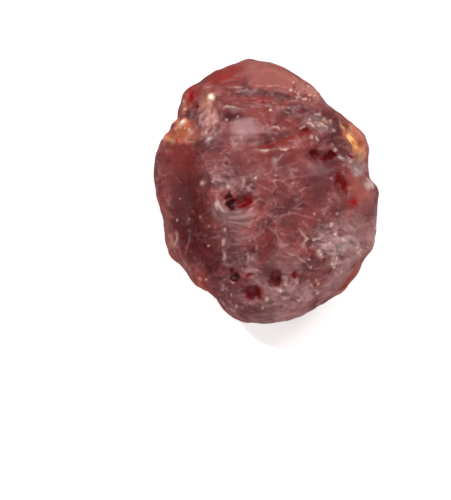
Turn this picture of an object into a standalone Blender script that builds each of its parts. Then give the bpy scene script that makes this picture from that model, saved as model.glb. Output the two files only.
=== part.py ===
"""Rough spinel: one water-worn crystal, lying on its flattest worn face.

For Blender 4.5, in metres, +Z up. The origin is on the surface that the stone lies on, under the middle
of its outline. +Y runs along the stone and +X across it. The stone is a few millimetres long, so its forms
are stated in millimetres, with x and y measured from the middle of the outline, and the finished mesh is
scaled to metres.

The stone is a sphere of square cells that is drawn out to the worn outline, cut by the worn crystal faces
with soft edges, scooped by chips, and then carved along its normals by mounds, pits, ridges, grooves and
ledges. Its widest section, the girdle, parts the front, which faces up, from the back.
"""

import math

import bmesh
import bpy
from mathutils import Vector, noise

MM = 0.001

# Driving dimensions, in millimetres.
LENGTH = 9.5
WIDTH = 8.02
THICKNESS = 5.6
GIRDLE_HEIGHT = 2.45  # mean height of the girdle above the resting face
GIRDLE_SWAY = 1.30  # how far the girdle rises and falls on its way round
GIRDLE_WAVES = 0.9  # how often it does so
GIRDLE_PATTERN = 4.0  # picks one girdle of the many that do so
BACK_DEPTH = 3.00  # the back below the girdle before the resting face cuts it
RESTING_EDGE = 0.12  # how softly the resting face's rim is worn

CELLS = 28  # square cells along each of the 12 edges of the starting cube: 12 * CELLS ** 2 triangles

# The worn outline at the girdle, anticlockwise from +X: lobes with notches between them.
OUTLINE = (
    (4.01, -0.10), (3.94, -0.64), (3.94, -1.14), (3.89, -1.74), (3.69, -2.24), (3.37, -2.64),
    (3.23, -2.99), (2.91, -3.46), (2.26, -3.89), (1.48, -4.32), (0.98, -4.55), (0.59, -4.62),
    (-0.09, -4.73), (-0.63, -4.66), (-1.06, -4.55), (-1.45, -4.28), (-1.75, -3.92), (-1.97, -3.60),
    (-2.38, -3.48), (-2.66, -3.21), (-2.91, -2.78), (-3.24, -2.39), (-3.52, -2.01), (-3.66, -1.60),
    (-3.66, -1.24), (-3.83, -0.57), (-3.95, 0.22), (-4.01, 0.83), (-3.91, 1.43), (-3.70, 1.90),
    (-3.41, 2.20), (-3.31, 2.54), (-3.15, 2.97), (-3.04, 3.43), (-2.88, 3.68), (-2.45, 3.95),
    (-1.88, 4.33), (-1.20, 4.59), (-0.49, 4.73), (0.16, 4.61), (0.84, 4.33), (1.48, 3.83),
    (1.94, 3.42), (2.16, 3.09), (2.62, 2.77), (3.23, 2.33), (3.57, 1.88), (3.67, 1.51),
    (3.59, 1.01), (3.75, 0.54), (3.98, 0.15),
)
OUTLINE_SECTORS = 90  # sectors in which the carved stone is drawn back out to the outline
OUTLINE_SOFT_ARC = 32.0  # degrees either side over which the outline is averaged away from the girdle
LOBE_REACH = 24.0  # degrees above and below the girdle at which the lobes have mostly faded
LOBE_TWIST = 70.0  # degrees by which the notches wander sideways on their way up and down
LOBE_TWIST_WAVES = 2.4
SIDES_START = 0.55  # share of the reach at which the sides begin, and the stone may be drawn in or out

# How full the section is: 1 is an ellipse, and less is boxier.
FRONT_FULLNESS = (0.86, 0.80)  # in plan, in height
BACK_FULLNESS = (0.94, 0.92)

# Worn crystal faces: a point (x, y, height above the girdle), the way they fall and how steeply, in degrees.
FRONT_FACES = {
    "table": ((0.4, -0.6, 2.95), 300, 5),
    "left_flank": ((-1.95, -1.0, 2.62), 190, 40),
    "upper_left": ((-2.0, 2.7, 2.40), 140, 36),
    "dome": ((0.0, 3.30, 2.52), 92, 36),
    "upper_right": ((2.2, 2.2, 2.42), 44, 33),
    "right": ((2.8, 0.0, 2.45), 356, 40),
    "lower_right_bevel": ((1.95, -2.8, 2.35), 312, 44),
    "foot": ((-0.4, -3.5, 2.35), 258, 43),
}
BACK_FACES = {
    "back_right": ((1.7, 0.7, 2.20), 18, 43),
    "back_top": ((0.1, 2.3, 2.25), 104, 38),
    "back_left": ((-1.6, 0.4, 2.25), 196, 39),
    "back_foot": ((-0.1, -2.4, 2.20), 283, 38),
}
FACE_EDGE = 0.50  # how softly two faces meet
SIDE_KEEP = 0.35  # the share of its uncut height that a face leaves to the stone at its sides

# Forms of the front, in plan. Mounds and pits: centre, half sizes, turn in degrees, height (or depth).
MOUNDS = {
    "pale_mound": ((-0.70, 1.97), (0.66, 0.42), 12, 0.15),
    "orange_lobe": ((3.23, 1.72), (0.42, 0.62), 20, 0.16),
    "right_bulge": ((3.45, -0.10), (0.50, 0.62), 0, 0.17),
    "corner_lobe": ((-2.78, 3.28), (0.32, 0.36), 0, 0.12),
    "ember_lobe": ((-3.02, 2.51), (0.26, 0.26), 0, 0.16),
    "shoulder_lobe": ((-3.12, 1.84), (0.46, 0.36), 30, 0.13),
    "heel_lobe": ((-2.33, -3.10), (0.36, 0.40), 0, 0.16),
    "grainy_mound": ((2.60, -1.72), (0.46, 0.38), 0, 0.12),
    "belly_mound": ((0.95, 0.35), (0.95, 0.75), 20, 0.10),
    "foot_mound": ((1.35, -3.35), (0.70, 0.40), 350, 0.09),
}
PITS = {
    "heart_pit": ((-0.82, -0.42), (0.34, 0.22), 12, 0.34),
    "heart_pit_side": ((-1.26, -0.42), (0.24, 0.24), 0, 0.26),
    "foot_pit": ((-0.52, -3.62), (0.36, 0.28), 0, 0.34),
    "slot_pit": ((0.31, -3.17), (0.21, 0.29), 350, 0.34),
    "left_foot_pit": ((-1.22, -3.02), (0.30, 0.18), 10, 0.24),
    "inner_pit": ((1.70, 1.20), (0.23, 0.24), 0, 0.26),
    "inner_pit_twin": ((2.28, 1.13), (0.30, 0.22), 8, 0.30),
    "side_slot": ((2.66, 0.18), (0.19, 0.42), 12, 0.30),
    "trough": ((-1.25, 2.66), (0.46, 0.24), 0, 0.13),
    "eye_hollow": ((0.02, 1.55), (0.60, 0.20), 6, 0.15),
    "lobe_hollow": ((2.30, 2.05), (0.46, 0.40), 330, 0.17),
}
# Ridges and grooves: the line they follow, half width, height (or depth).
RIDGES = {
    "upright_ridge": (((-2.31, 3.83), (-2.02, 3.25), (-1.95, 2.54), (-2.13, 1.83)), 0.26, 0.16),
    "strap": (((0.76, 3.26), (1.37, 3.04), (2.09, 2.90), (2.80, 2.61), (3.26, 2.26)), 0.26, 0.17),
    "flank_edge": (((-2.27, 1.47), (-2.09, 0.47), (-1.81, -0.49), (-1.59, -1.57), (-1.45, -2.53)), 0.30, 0.09),
    "heart_lip": (((-1.81, -0.17), (-1.66, -0.53), (-1.45, -0.78), (-0.95, -0.96), (-0.45, -0.80)), 0.18, 0.13),
    "left_rim": (((-3.72, 1.10), (-3.74, 0.20), (-3.58, -0.70), (-3.42, -1.50)), 0.20, 0.09),
    "bevel_edge": (((1.60, -3.60), (2.10, -3.00), (2.70, -2.45), (3.20, -2.05)), 0.20, 0.08),
}
GROOVES = {
    "long_crack": (((-0.66, 1.54), (-0.16, 1.68), (0.48, 1.88), (1.12, 2.02), (1.70, 2.26)), 0.17, 0.20),
    "under_strap": (((1.10, 2.78), (1.60, 2.72), (2.10, 2.72), (2.62, 2.48)), 0.16, 0.13),
    "bulge_crease": (((2.90, 0.66), (3.41, 0.56), (3.90, 0.33)), 0.16, 0.16),
    "lobe_crease": (((2.30, 1.62), (2.62, 1.20), (3.00, 0.96), (3.62, 0.98)), 0.15, 0.13),
    "heel_crease": (((-1.95, -3.66), (-1.74, -3.30), (-1.50, -3.00)), 0.16, 0.15),
    "shoulder_crease": (((-3.45, 2.22), (-3.00, 2.16), (-2.55, 2.30)), 0.14, 0.12),
    "ember_crease": (((-3.22, 2.84), (-2.90, 2.86), (-2.60, 2.72)), 0.14, 0.12),
    "red_valley": (((0.19, -1.40), (0.02, -2.20), (0.22, -2.80)), 0.34, 0.12),
    "flank_fold": (((-3.10, 1.10), (-2.85, 0.10), (-2.75, -0.90), (-2.45, -2.00)), 0.34, 0.12),
}
# Ledges: the line of the edge, how far the ground on its right drops, and how far it takes to rise again.
LEDGES = {
    "dome_step": (((-1.75, 3.48), (-0.77, 3.60), (0.05, 3.56), (0.84, 3.34), (1.48, 3.14), (2.20, 3.02)), 0.20, 0.80),
    "second_step": (((-1.70, 2.98), (-1.10, 2.98), (-0.16, 3.10), (0.66, 2.92), (1.19, 2.62), (1.62, 2.26)), 0.14, 0.70),
}
LEDGE_FACE = 0.10  # how wide the riser of a ledge is in plan
LINE_END = 0.18  # share of a line's length over which it rises to its full height
LINE_END_HEIGHT = 0.35  # share of its height that a ridge or a groove has at its very ends
FRONT_FADE = (1.55, 3.75)  # heights between which the forms of the back give way to those of the front

# Forms of the sides and the back, in space: centre, radius, height along the normal, or depth if negative.
SIDE_LUMPS = (
    ((3.6, -1.9, 1.2), 0.80, 0.14),
    ((3.2, 1.6, 0.9), 0.75, -0.16),
    ((1.2, 4.2, 1.2), 0.80, 0.15),
    ((-1.6, 4.0, 1.0), 0.65, -0.18),
    ((-3.6, 1.2, 1.3), 0.75, 0.14),
    ((-3.3, -1.2, 0.8), 0.70, -0.16),
    ((-2.2, -3.2, 1.1), 0.70, 0.15),
    ((-0.3, -4.4, 1.2), 0.60, -0.14),
    ((1.8, -3.8, 1.0), 0.70, 0.15),
    ((0.9, 1.5, 0.0), 0.55, -0.20),
    ((-1.1, -0.9, 0.0), 0.50, -0.18),
    ((0.6, -2.0, 0.0), 0.40, -0.16),
)
# Conchoidal chips, worn smooth: the middle of the ball that each one is a scoop of, and the ball's radius.
CHIPS = (
    ((5.4, -1.2, 0.7), 2.10),
    ((4.9, 2.9, 1.3), 2.25),
    ((2.6, 5.6, 1.0), 2.10),
    ((-1.7, 5.9, 0.7), 1.95),
    ((-5.5, 1.5, 1.0), 2.30),
    ((-5.0, -1.8, 0.9), 1.95),
    ((-2.7, -5.0, 0.4), 1.90),
    ((1.1, -6.3, 1.4), 2.20),
    ((3.4, -5.0, 0.3), 2.05),
    ((-3.9, 4.2, 3.9), 1.35),
    ((4.6, 0.9, 4.3), 1.55),
)
CHIP_EDGE = 0.09  # how softly a chip's rim is worn
# Growth steps run round the back half of the stone: their height and how deep they are cut.
GROWTH_STEPS = ((0.55, 0.06), (1.05, 0.08), (1.60, 0.06))
GROWTH_STEP_WIDTH = 0.16
GROWTH_STEP_WANDER = 0.30  # how far a step rises and falls on its way round
GROWTH_STEP_WAVES = 0.45

# Waterworn unevenness: size of the lumps, and how far they stand out or in on the front and elsewhere.
UNEVENNESS = ((2.6, 0.20, 0.50), (1.3, 0.14, 0.28), (0.66, 0.07, 0.12), (0.38, 0.035, 0.05))

STONE_COLOUR = (0.235, 0.060, 0.058, 1.0)
STONE_ROUGHNESS = 0.42


def clear_scene():
    for old in list(bpy.data.objects):
        bpy.data.objects.remove(old)


def smooth_step(low, high, value):
    t = min(max((value - low) / (high - low), 0.0), 1.0)
    return t * t * (3 - 2 * t)


def smooth_min(a, b, reach):
    """The lower of two heights, rounded off where they come within reach of each other."""
    near = max(reach - abs(a - b), 0.0) / reach
    return min(a, b) - near * near * reach / 4


def turned(x, y, degrees):
    turn = math.radians(degrees)
    return x * math.cos(turn) + y * math.sin(turn), -x * math.sin(turn) + y * math.cos(turn)


def outline_radius():
    """Returns the outline's radius as a smooth function of the angle round the middle."""
    knots = sorted((math.atan2(y, x), math.hypot(x, y)) for x, y in OUTLINE)
    count = len(knots)
    turn = 2 * math.pi
    before = [(a - turn, r) for a, r in knots[-2:]]
    after = [(a + turn, r) for a, r in knots[:2]]
    knots = before + knots + after

    def slope(i):
        return (knots[i + 1][1] - knots[i - 1][1]) / (knots[i + 1][0] - knots[i - 1][0])

    def radius(angle):
        angle = (angle + math.pi) % turn - math.pi
        i = next(i for i in range(1, count + 3) if angle <= knots[i + 1][0])
        (a0, r0), (a1, r1) = knots[i], knots[i + 1]
        gap = a1 - a0
        t = (angle - a0) / gap
        return (
            (2 * t ** 3 - 3 * t ** 2 + 1) * r0
            + (t ** 3 - 2 * t ** 2 + t) * gap * slope(i)
            + (3 * t ** 2 - 2 * t ** 3) * r1
            + (t ** 3 - t ** 2) * gap * slope(i + 1)
        )

    return radius


def soft_radius(radius, angle):
    """The outline's radius with its lobes averaged away."""
    steps = range(-4, 5)
    arc = math.radians(OUTLINE_SOFT_ARC) / 4
    return sum(radius(angle + step * arc) for step in steps) / len(steps)


def face_height(face, x, y):
    (px, py, height), falls_to, slope = face
    away = (x - px) * math.cos(math.radians(falls_to)) + (y - py) * math.sin(math.radians(falls_to))
    return height - away * math.tan(math.radians(slope))


def body_point(direction, radius):
    """Where the point of the unit sphere in this direction lies on the worn body, before carving."""
    angle = math.atan2(direction.y, direction.x)
    from_top = math.acos(min(max(direction.z, -1.0), 1.0))
    front = from_top <= math.pi / 2
    plan_power, height_power = FRONT_FULLNESS if front else BACK_FULLNESS
    depth = THICKNESS - GIRDLE_HEIGHT if front else BACK_DEPTH
    off_girdle = math.degrees(abs(from_top - math.pi / 2))
    lobes = math.exp(-((off_girdle / LOBE_REACH) ** 2))
    wander = math.radians(LOBE_TWIST) * (1 - lobes) * noise.noise(direction * LOBE_TWIST_WAVES)
    reach = radius(angle + wander) * lobes + soft_radius(radius, angle) * (1 - lobes)
    plan = reach * math.sin(from_top) ** plan_power
    x, y = plan * math.cos(angle), plan * math.sin(angle)
    uncut = depth * abs(math.cos(from_top)) ** height_power
    height = uncut
    for face in (FRONT_FACES if front else BACK_FACES).values():
        height = smooth_min(height, face_height(face, x, y), FACE_EDGE)
    height = -smooth_min(-height, -SIDE_KEEP * uncut, FACE_EDGE / 4)
    way_round = Vector((math.cos(angle), math.sin(angle), 0)) * GIRDLE_WAVES
    sway = GIRDLE_SWAY * noise.noise(way_round + Vector((0, 0, GIRDLE_PATTERN)))
    girdle = GIRDLE_HEIGHT + sway * (plan / reach) ** 2
    return Vector((x, y, girdle + (height if front else -height)))


def bell(distance):
    """1 at the middle, 0 from a distance of about 2, without a corner anywhere."""
    return math.exp(-distance * distance * 1.6)


def basin(distance):
    """As bell, with a flat floor and steeper walls."""
    return math.exp(-(distance ** 4))


def spot(form, x, y, profile):
    (cx, cy), (half_x, half_y), turn, _ = form
    u, v = turned(x - cx, y - cy, turn)
    return profile(math.hypot(u / half_x, v / half_y))


def nearest_on_line(line, x, y):
    """How far (x, y) is from the line, which side it is on (positive is left), and how far along, 0 to 1."""
    best = None
    lengths = [math.dist(a, b) for a, b in zip(line, line[1:])]
    before = 0.0
    for (ax, ay), (bx, by), length in zip(line, line[1:], lengths):
        ux, uy = (bx - ax) / length, (by - ay) / length
        along = min(max((x - ax) * ux + (y - ay) * uy, 0.0), length)
        away = math.hypot(x - ax - along * ux, y - ay - along * uy)
        if best is None or away < best[0]:
            side = ux * (y - ay) - uy * (x - ax)
            best = (away, side, (before + along) / sum(lengths))
        before += length
    return best


def line_taper(along):
    """Full over the middle of a line and nothing at its two ends."""
    return smooth_step(0.0, LINE_END, along) * smooth_step(0.0, LINE_END, 1 - along)


def front_relief(x, y):
    """How far the front stands out of the worn body at (x, y)."""
    relief = sum(form[3] * spot(form, x, y, bell) for form in MOUNDS.values())
    relief -= sum(form[3] * spot(form, x, y, basin) for form in PITS.values())
    for lines, sign in ((RIDGES, 1), (GROOVES, -1)):
        for line, half_width, height in lines.values():
            away, _, along = nearest_on_line(line, x, y)
            swell = LINE_END_HEIGHT + (1 - LINE_END_HEIGHT) * line_taper(along)
            relief += sign * height * bell(away / half_width) * swell
    for line, drop, reach in LEDGES.values():
        away, side, along = nearest_on_line(line, x, y)
        below = smooth_step(-LEDGE_FACE, LEDGE_FACE, -math.copysign(away, side))
        relief -= drop * below * math.exp(-2 * away / reach) * line_taper(along)
    return relief


def back_relief(point):
    """How far the sides and the back stand out: lumps, hollows and worn growth steps."""
    relief = 0.0
    for centre, radius, height in SIDE_LUMPS:
        relief += height * bell((point - Vector(centre)).length / radius)
    wander = GROWTH_STEP_WANDER * noise.noise(point * GROWTH_STEP_WAVES)
    for height, depth in GROWTH_STEPS:
        relief -= depth * bell((point.z - height - wander) / GROWTH_STEP_WIDTH)
    return relief


def chipped(point):
    """Moves a point that lies inside a chip's ball out to the ball's surface, so that a scoop is left."""
    for centre, radius in CHIPS:
        away = point - Vector(centre)
        inside = radius - away.length
        if inside > -CHIP_EDGE:
            push = inside if inside > CHIP_EDGE else (inside + CHIP_EDGE) ** 2 / (4 * CHIP_EDGE)
            point = point + away.normalized() * push
    return point


def unevenness(point, front):
    return sum(
        (on_front * front + elsewhere * (1 - front)) * noise.noise(point / size)
        for size, on_front, elsewhere in UNEVENNESS
    )


def relief_at(point):
    front = smooth_step(*FRONT_FADE, point.z)
    relief = unevenness(point, front)
    if front > 0:
        relief += front * front_relief(point.x, point.y)
    if front < 1:
        relief += (1 - front) * back_relief(point)
    return relief


def resting(height):
    """Flattens what would reach below the surface that the stone lies on, with a worn rim."""
    if height >= RESTING_EDGE:
        return height
    return max(height + RESTING_EDGE, 0.0) ** 2 / (4 * RESTING_EDGE)


def sphere_of_cells(mesh):
    """Fills the mesh with a unit sphere of square cells, evened out from the cube that it starts as."""
    bmesh.ops.create_cube(mesh, size=2.0)
    bmesh.ops.subdivide_edges(mesh, edges=mesh.edges[:], cuts=CELLS - 1, use_grid_fill=True)
    for vertex in mesh.verts:
        evened = Vector([math.tan(c * math.pi / 4) for c in vertex.co])
        vertex.co = evened.normalized()


def carve(mesh):
    """Moves each vertex along its normal by the relief there, and lays the stone on its resting face."""
    mesh.normal_update()
    carved = [v.co + v.normal * relief_at(v.co) for v in mesh.verts]
    for vertex, place in zip(mesh.verts, carved):
        vertex.co = (place.x, place.y, resting(place.z))


def fit_outline(mesh, radius):
    """Draws the sides in or out until the widest section follows the outline again."""
    sector = 2 * math.pi / OUTLINE_SECTORS
    reach = [0.0] * OUTLINE_SECTORS
    for vertex in mesh.verts:
        angle = math.atan2(vertex.co.y, vertex.co.x)
        index = int((angle + math.pi) / sector) % OUTLINE_SECTORS
        reach[index] = max(reach[index], math.hypot(vertex.co.x, vertex.co.y))
    exact = [radius((i + 0.5) * sector - math.pi) / widest for i, widest in enumerate(reach)]
    following_ones = exact[1:] + exact[:1]
    stretch = [(exact[i - 1] + exact[i] + following_ones[i]) / 3 for i in range(OUTLINE_SECTORS)]
    for vertex in mesh.verts:
        place = (math.atan2(vertex.co.y, vertex.co.x) + math.pi) / sector - 0.5
        index = math.floor(place)
        share = place - index
        here, following = index % OUTLINE_SECTORS, (index + 1) % OUTLINE_SECTORS
        widest = reach[here] * (1 - share) + reach[following] * share
        factor = stretch[here] * (1 - share) + stretch[following] * share
        side = smooth_step(SIDES_START, 1.0, math.hypot(vertex.co.x, vertex.co.y) / widest)
        vertex.co.x *= 1 + (factor - 1) * side
        vertex.co.y *= 1 + (factor - 1) * side


def set_size(mesh):
    """Centres the outline on the origin and gives the stone its stated size, in metres."""
    low = Vector([min(v.co[axis] for v in mesh.verts) for axis in range(3)])
    high = Vector([max(v.co[axis] for v in mesh.verts) for axis in range(3)])
    middle = Vector(((low.x + high.x) / 2, (low.y + high.y) / 2, low.z))
    size = (WIDTH, LENGTH, THICKNESS)
    for vertex in mesh.verts:
        vertex.co = [
            (vertex.co[axis] - middle[axis]) * size[axis] / (high[axis] - low[axis]) * MM
            for axis in range(3)
        ]


def stone_material():
    material = bpy.data.materials.new("spinel")
    material.use_nodes = True
    shader = material.node_tree.nodes["Principled BSDF"]
    shader.inputs["Base Color"].default_value = STONE_COLOUR
    shader.inputs["Roughness"].default_value = STONE_ROUGHNESS
    shader.inputs["IOR"].default_value = 1.72
    return material


def make_stone():
    shape = bmesh.new()
    sphere_of_cells(shape)
    radius = outline_radius()
    for vertex in shape.verts:
        vertex.co = chipped(body_point(vertex.co, radius))
    carve(shape)
    fit_outline(shape, radius)
    set_size(shape)
    data = bpy.data.meshes.new("spinel_stone")
    shape.to_mesh(data)
    shape.free()
    data.shade_smooth()
    data.materials.append(stone_material())
    stone = bpy.data.objects.new("spinel_stone", data)
    bpy.context.scene.collection.objects.link(stone)


clear_scene()
make_stone()
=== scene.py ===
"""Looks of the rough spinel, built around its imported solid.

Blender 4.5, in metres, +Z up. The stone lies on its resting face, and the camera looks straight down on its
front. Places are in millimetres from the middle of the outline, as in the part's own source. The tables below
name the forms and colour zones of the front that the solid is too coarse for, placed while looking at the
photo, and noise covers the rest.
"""

import math

import bmesh
import bpy
import numpy as np
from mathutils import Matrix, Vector, noise
from mathutils.kdtree import KDTree


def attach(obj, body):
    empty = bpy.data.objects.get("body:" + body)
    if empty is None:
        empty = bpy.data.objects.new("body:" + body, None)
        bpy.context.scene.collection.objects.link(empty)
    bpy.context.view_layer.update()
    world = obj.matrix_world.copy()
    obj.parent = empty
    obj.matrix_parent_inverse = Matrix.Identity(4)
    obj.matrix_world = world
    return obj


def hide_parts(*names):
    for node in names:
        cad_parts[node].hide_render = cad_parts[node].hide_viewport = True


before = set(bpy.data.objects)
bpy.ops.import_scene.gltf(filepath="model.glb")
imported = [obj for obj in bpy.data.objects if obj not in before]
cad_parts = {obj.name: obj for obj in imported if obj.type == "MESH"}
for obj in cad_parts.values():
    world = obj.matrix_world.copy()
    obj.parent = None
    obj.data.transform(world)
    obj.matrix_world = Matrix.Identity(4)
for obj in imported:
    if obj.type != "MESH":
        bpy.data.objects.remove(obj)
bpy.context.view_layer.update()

MM = 0.001
NODE = "spinel_stone"
SEED = 71

# ---------------------------------------------------------------------------------------------------------
# Fine relief of the front. A place is (x, y) in mm, and a height or depth is in mm along the normal.

# name: place, half sizes, turn in degrees, depth, how dark it is from 0, bright red, to 1, nearly black,
# which is painted shade in the pit
PITS = {
    "heart_small": ((-1.38, -0.24), (0.18, 0.16), 0, 0.08, 0.95),
    "heart_middle": ((-1.21, -0.50), (0.23, 0.20), 0, 0.12, 0.95),
    "heart_right": ((-0.80, -0.43), (0.40, 0.22), 22, 0.06, 0.3),
    "foot_round": ((-0.46, -3.66), (0.40, 0.31), 0, 0.04, 0.60),
    "foot_slot": ((0.32, -3.16), (0.20, 0.33), 350, 0.04, 0.70),
    "foot_red": ((-0.67, -3.00), (0.18, 0.10), 35, 0.05, 0.5),
    "foot_hook": ((-1.18, -3.06), (0.25, 0.11), 0, 0.07, 0.95),
    "foot_hook_top": ((-1.20, -2.84), (0.08, 0.16), 20, 0.05, 0.9),
    "foot_right": ((1.00, -3.00), (0.16, 0.20), 330, 0.05, 0.55),
    "table_dot": ((-1.38, 0.97), (0.10, 0.10), 0, 0.04, 0.8),
    "inner_left": ((1.64, 1.27), (0.19, 0.24), 330, 0.08, 0.7),
    "inner_right": ((2.22, 1.22), (0.34, 0.18), 8, 0.09, 0.65),
    "inner_bridge": ((1.92, 1.08), (0.16, 0.08), 20, 0.04, 0.7),
    "side_notch": ((2.60, 0.23), (0.20, 0.42), 18, 0.06, 0.45),
    "side_notch_foot": ((2.78, -0.08), (0.08, 0.17), 25, 0.04, 0.45),
    "crack_mouth": ((1.38, 2.10), (0.24, 0.09), 25, 0.07, 0.5),
    "corner_red": ((-2.68, 3.38), (0.12, 0.24), 350, 0.06, 0.4),
    "corner_dot": ((-2.44, 2.95), (0.12, 0.10), 320, 0.05, 0.6),
    "flank_streak": ((-2.49, -0.88), (0.07, 0.22), 30, 0.05, 0.9),
    "flank_streak_top": ((-3.06, 0.38), (0.06, 0.18), 35, 0.04, 0.9),
    "flank_dot": ((-2.24, -1.93), (0.09, 0.11), 0, 0.05, 1.0),
    "lobe_notch": ((2.99, 1.19), (0.20, 0.07), 350, 0.06, 0.5),
    "lobe_hollow": ((3.02, -0.42), (0.14, 0.12), 0, 0.03, 0.0),
}
PIT_REACH = 1.45  # of a pit's half sizes: where its hollow ends
PIT_RIM = (0.42, 1.10)  # of a pit's half sizes: where its own colour starts to fade, and where it ends

# name: the line that it follows, half width, height, how cream-coloured it is, a painted highlight along its
# crest
WRINKLES = {
    "dome_line": (
        ((-0.65, 3.64), (-0.24, 3.67), (0.12, 3.67), (0.48, 3.63), (0.79, 3.52)), 0.045, 0.045, 0.15),
    "step_line": (((-1.58, 3.69), (-1.20, 3.66), (-0.83, 3.61), (-0.50, 3.43)), 0.045, 0.045, 0.1),
    "second_step_line": (((-1.15, 3.50), (-0.85, 3.50), (-0.60, 3.45), (-0.35, 3.37)), 0.05, 0.03, 0.1),
    "third_step_line": (((0.10, 3.12), (0.30, 3.05), (0.50, 2.95)), 0.06, 0.03, 0.1),
    "step_crest": (((-1.66, 2.93), (-1.31, 2.98), (-1.01, 2.93), (-0.60, 2.83)), 0.032, 0.03, 0.75),
    "steps_end": (((-0.35, 2.74), (-0.08, 2.60)), 0.05, 0.05, 0.5),
    "squiggle": (((0.60, 2.93), (0.77, 2.88), (0.90, 2.74), (0.84, 2.62)), 0.05, 0.04, 0.2),
    "squiggle_low": (((0.60, 2.48), (0.86, 2.36)), 0.05, 0.04, 0.2),
    "loop_top": (((0.06, 2.13), (0.25, 2.22), (0.42, 2.20), (0.37, 2.06)), 0.05, 0.04, 0.3),
    "recess_top": (((1.42, 2.55), (1.66, 2.66), (1.94, 2.65)), 0.07, 0.05, 0.3),
    "recess_left": (((1.36, 2.38), (1.50, 2.28), (1.65, 2.20)), 0.06, 0.05, 0.4),
    "recess_low": (((1.06, 2.10), (1.22, 2.19), (1.38, 2.26)), 0.05, 0.05, 0.2),
    "crack_lip": (
        ((-0.55, 1.46), (-0.31, 1.38), (-0.10, 1.36), (0.12, 1.40), (0.38, 1.43), (0.63, 1.41), (0.95, 1.50)),
        0.045, 0.05, 0.45),
    "thin_ridge": (((2.15, 1.68), (2.30, 1.48), (2.45, 1.28), (2.61, 1.10), (2.84, 1.03)), 0.050, 0.10, 0.60),
    "heart_arc": (((-1.66, -0.20), (-1.58, -0.38), (-1.40, -0.44)), 0.045, 0.05, 0.1),
    "heart_lip": (((-1.82, -0.20), (-1.75, -0.50), (-1.60, -0.68), (-1.45, -0.78)), 0.06, 0.07, 0.2),
    "heart_foot": (
        ((-1.49, -0.79), (-1.19, -0.80), (-0.89, -0.74), (-0.59, -0.68), (-0.45, -0.48)), 0.06, 0.04, 0.1),
    "heart_low_line": (((-1.49, -0.94), (-1.19, -1.04), (-0.92, -1.10), (-0.62, -1.00)), 0.05, 0.03, 0.05),
    "heart_side": (((-0.35, -0.94), (-0.18, -1.00)), 0.05, 0.04, 0.2),
    "brim_wisp": (((-0.86, 0.52), (-0.80, 0.28), (-0.89, 0.05)), 0.06, 0.04, 0.2),
    "valley_side": (
        ((0.00, -0.90), (0.34, -1.17), (0.29, -1.45), (0.41, -1.72), (0.70, -2.00)), 0.045, 0.05, 0.05),
    "long_streak": (
        ((0.55, -2.10), (0.76, -2.27), (1.05, -2.32), (1.34, -2.57), (1.66, -2.85)), 0.045, 0.05, 0.05),
    "right_wrinkle": (
        ((0.94, -1.35), (1.19, -1.46), (1.40, -1.68), (1.76, -1.69), (2.09, -1.54), (2.42, -1.53)),
        0.05, 0.06, 0.15),
    "right_chain": (((2.33, -1.69), (2.38, -1.97), (2.35, -2.27), (2.27, -2.63)), 0.07, 0.04, 0.2),
    "foot_streak": (((1.42, -3.23), (1.66, -3.45), (1.88, -3.64)), 0.05, 0.04, 0.1),
    "foot_wisp": (((-0.71, -2.16), (-0.66, -2.45), (-0.62, -2.62), (-0.50, -2.76)), 0.05, 0.05, 0.0),
    "foot_wisp_right": (((-0.33, -1.86), (-0.39, -2.22), (-0.62, -2.52)), 0.05, 0.05, 0.0),
    "foot_band": (
        ((-0.50, -2.76), (-0.39, -2.93), (-0.24, -3.14), (0.02, -3.32), (0.20, -3.55)), 0.07, 0.05, 0.1),
    "flank_ridge": (
        ((-1.50, -1.60), (-1.51, -1.95), (-1.46, -2.16), (-1.49, -2.40), (-1.34, -2.70)), 0.085, 0.07, 0.1),
    "flank_hook": (((-2.00, -1.62), (-1.84, -1.66), (-1.70, -1.60)), 0.04, 0.03, 0.1),
    "flank_fold": (((-2.76, -1.33), (-2.74, -1.75), (-2.83, -2.10), (-2.90, -2.40)), 0.07, 0.04, 0.0),
    "rim_fold": (((-3.23, -1.35), (-3.15, -1.66), (-3.21, -1.86), (-3.40, -2.02)), 0.08, 0.05, 0.1),
    "upright_crest": (
        ((-2.08, 3.25), (-2.11, 2.95), (-2.05, 2.59), (-2.11, 2.21), (-2.14, 1.90)), 0.10, 0.05, 0.0),
    "bulge_lip": (((3.05, 0.78), (3.26, 0.69), (3.51, 0.72)), 0.07, 0.05, 0.2),
    "bevel_line": (((2.53, -3.41), (2.86, -2.99), (3.14, -2.59), (3.42, -2.19)), 0.05, 0.04, 0.0),
}

BOLD_HEIGHT = 0.07  # of a line: lower ones are less pale
TAPER = 0.2  # of a line's length, at each end
BREAKS = (0.26, -0.30, 0.25)  # that break the lines up: size of the noise, and the range that it is cut to
BREAK_OFFSET = (4.4, 0, 0)
LEAST_CREST = 0.35  # height that is left of a line where it is most broken
CREAM_WHOLE = 0.4  # how much less the cream-coloured lines are broken
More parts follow.
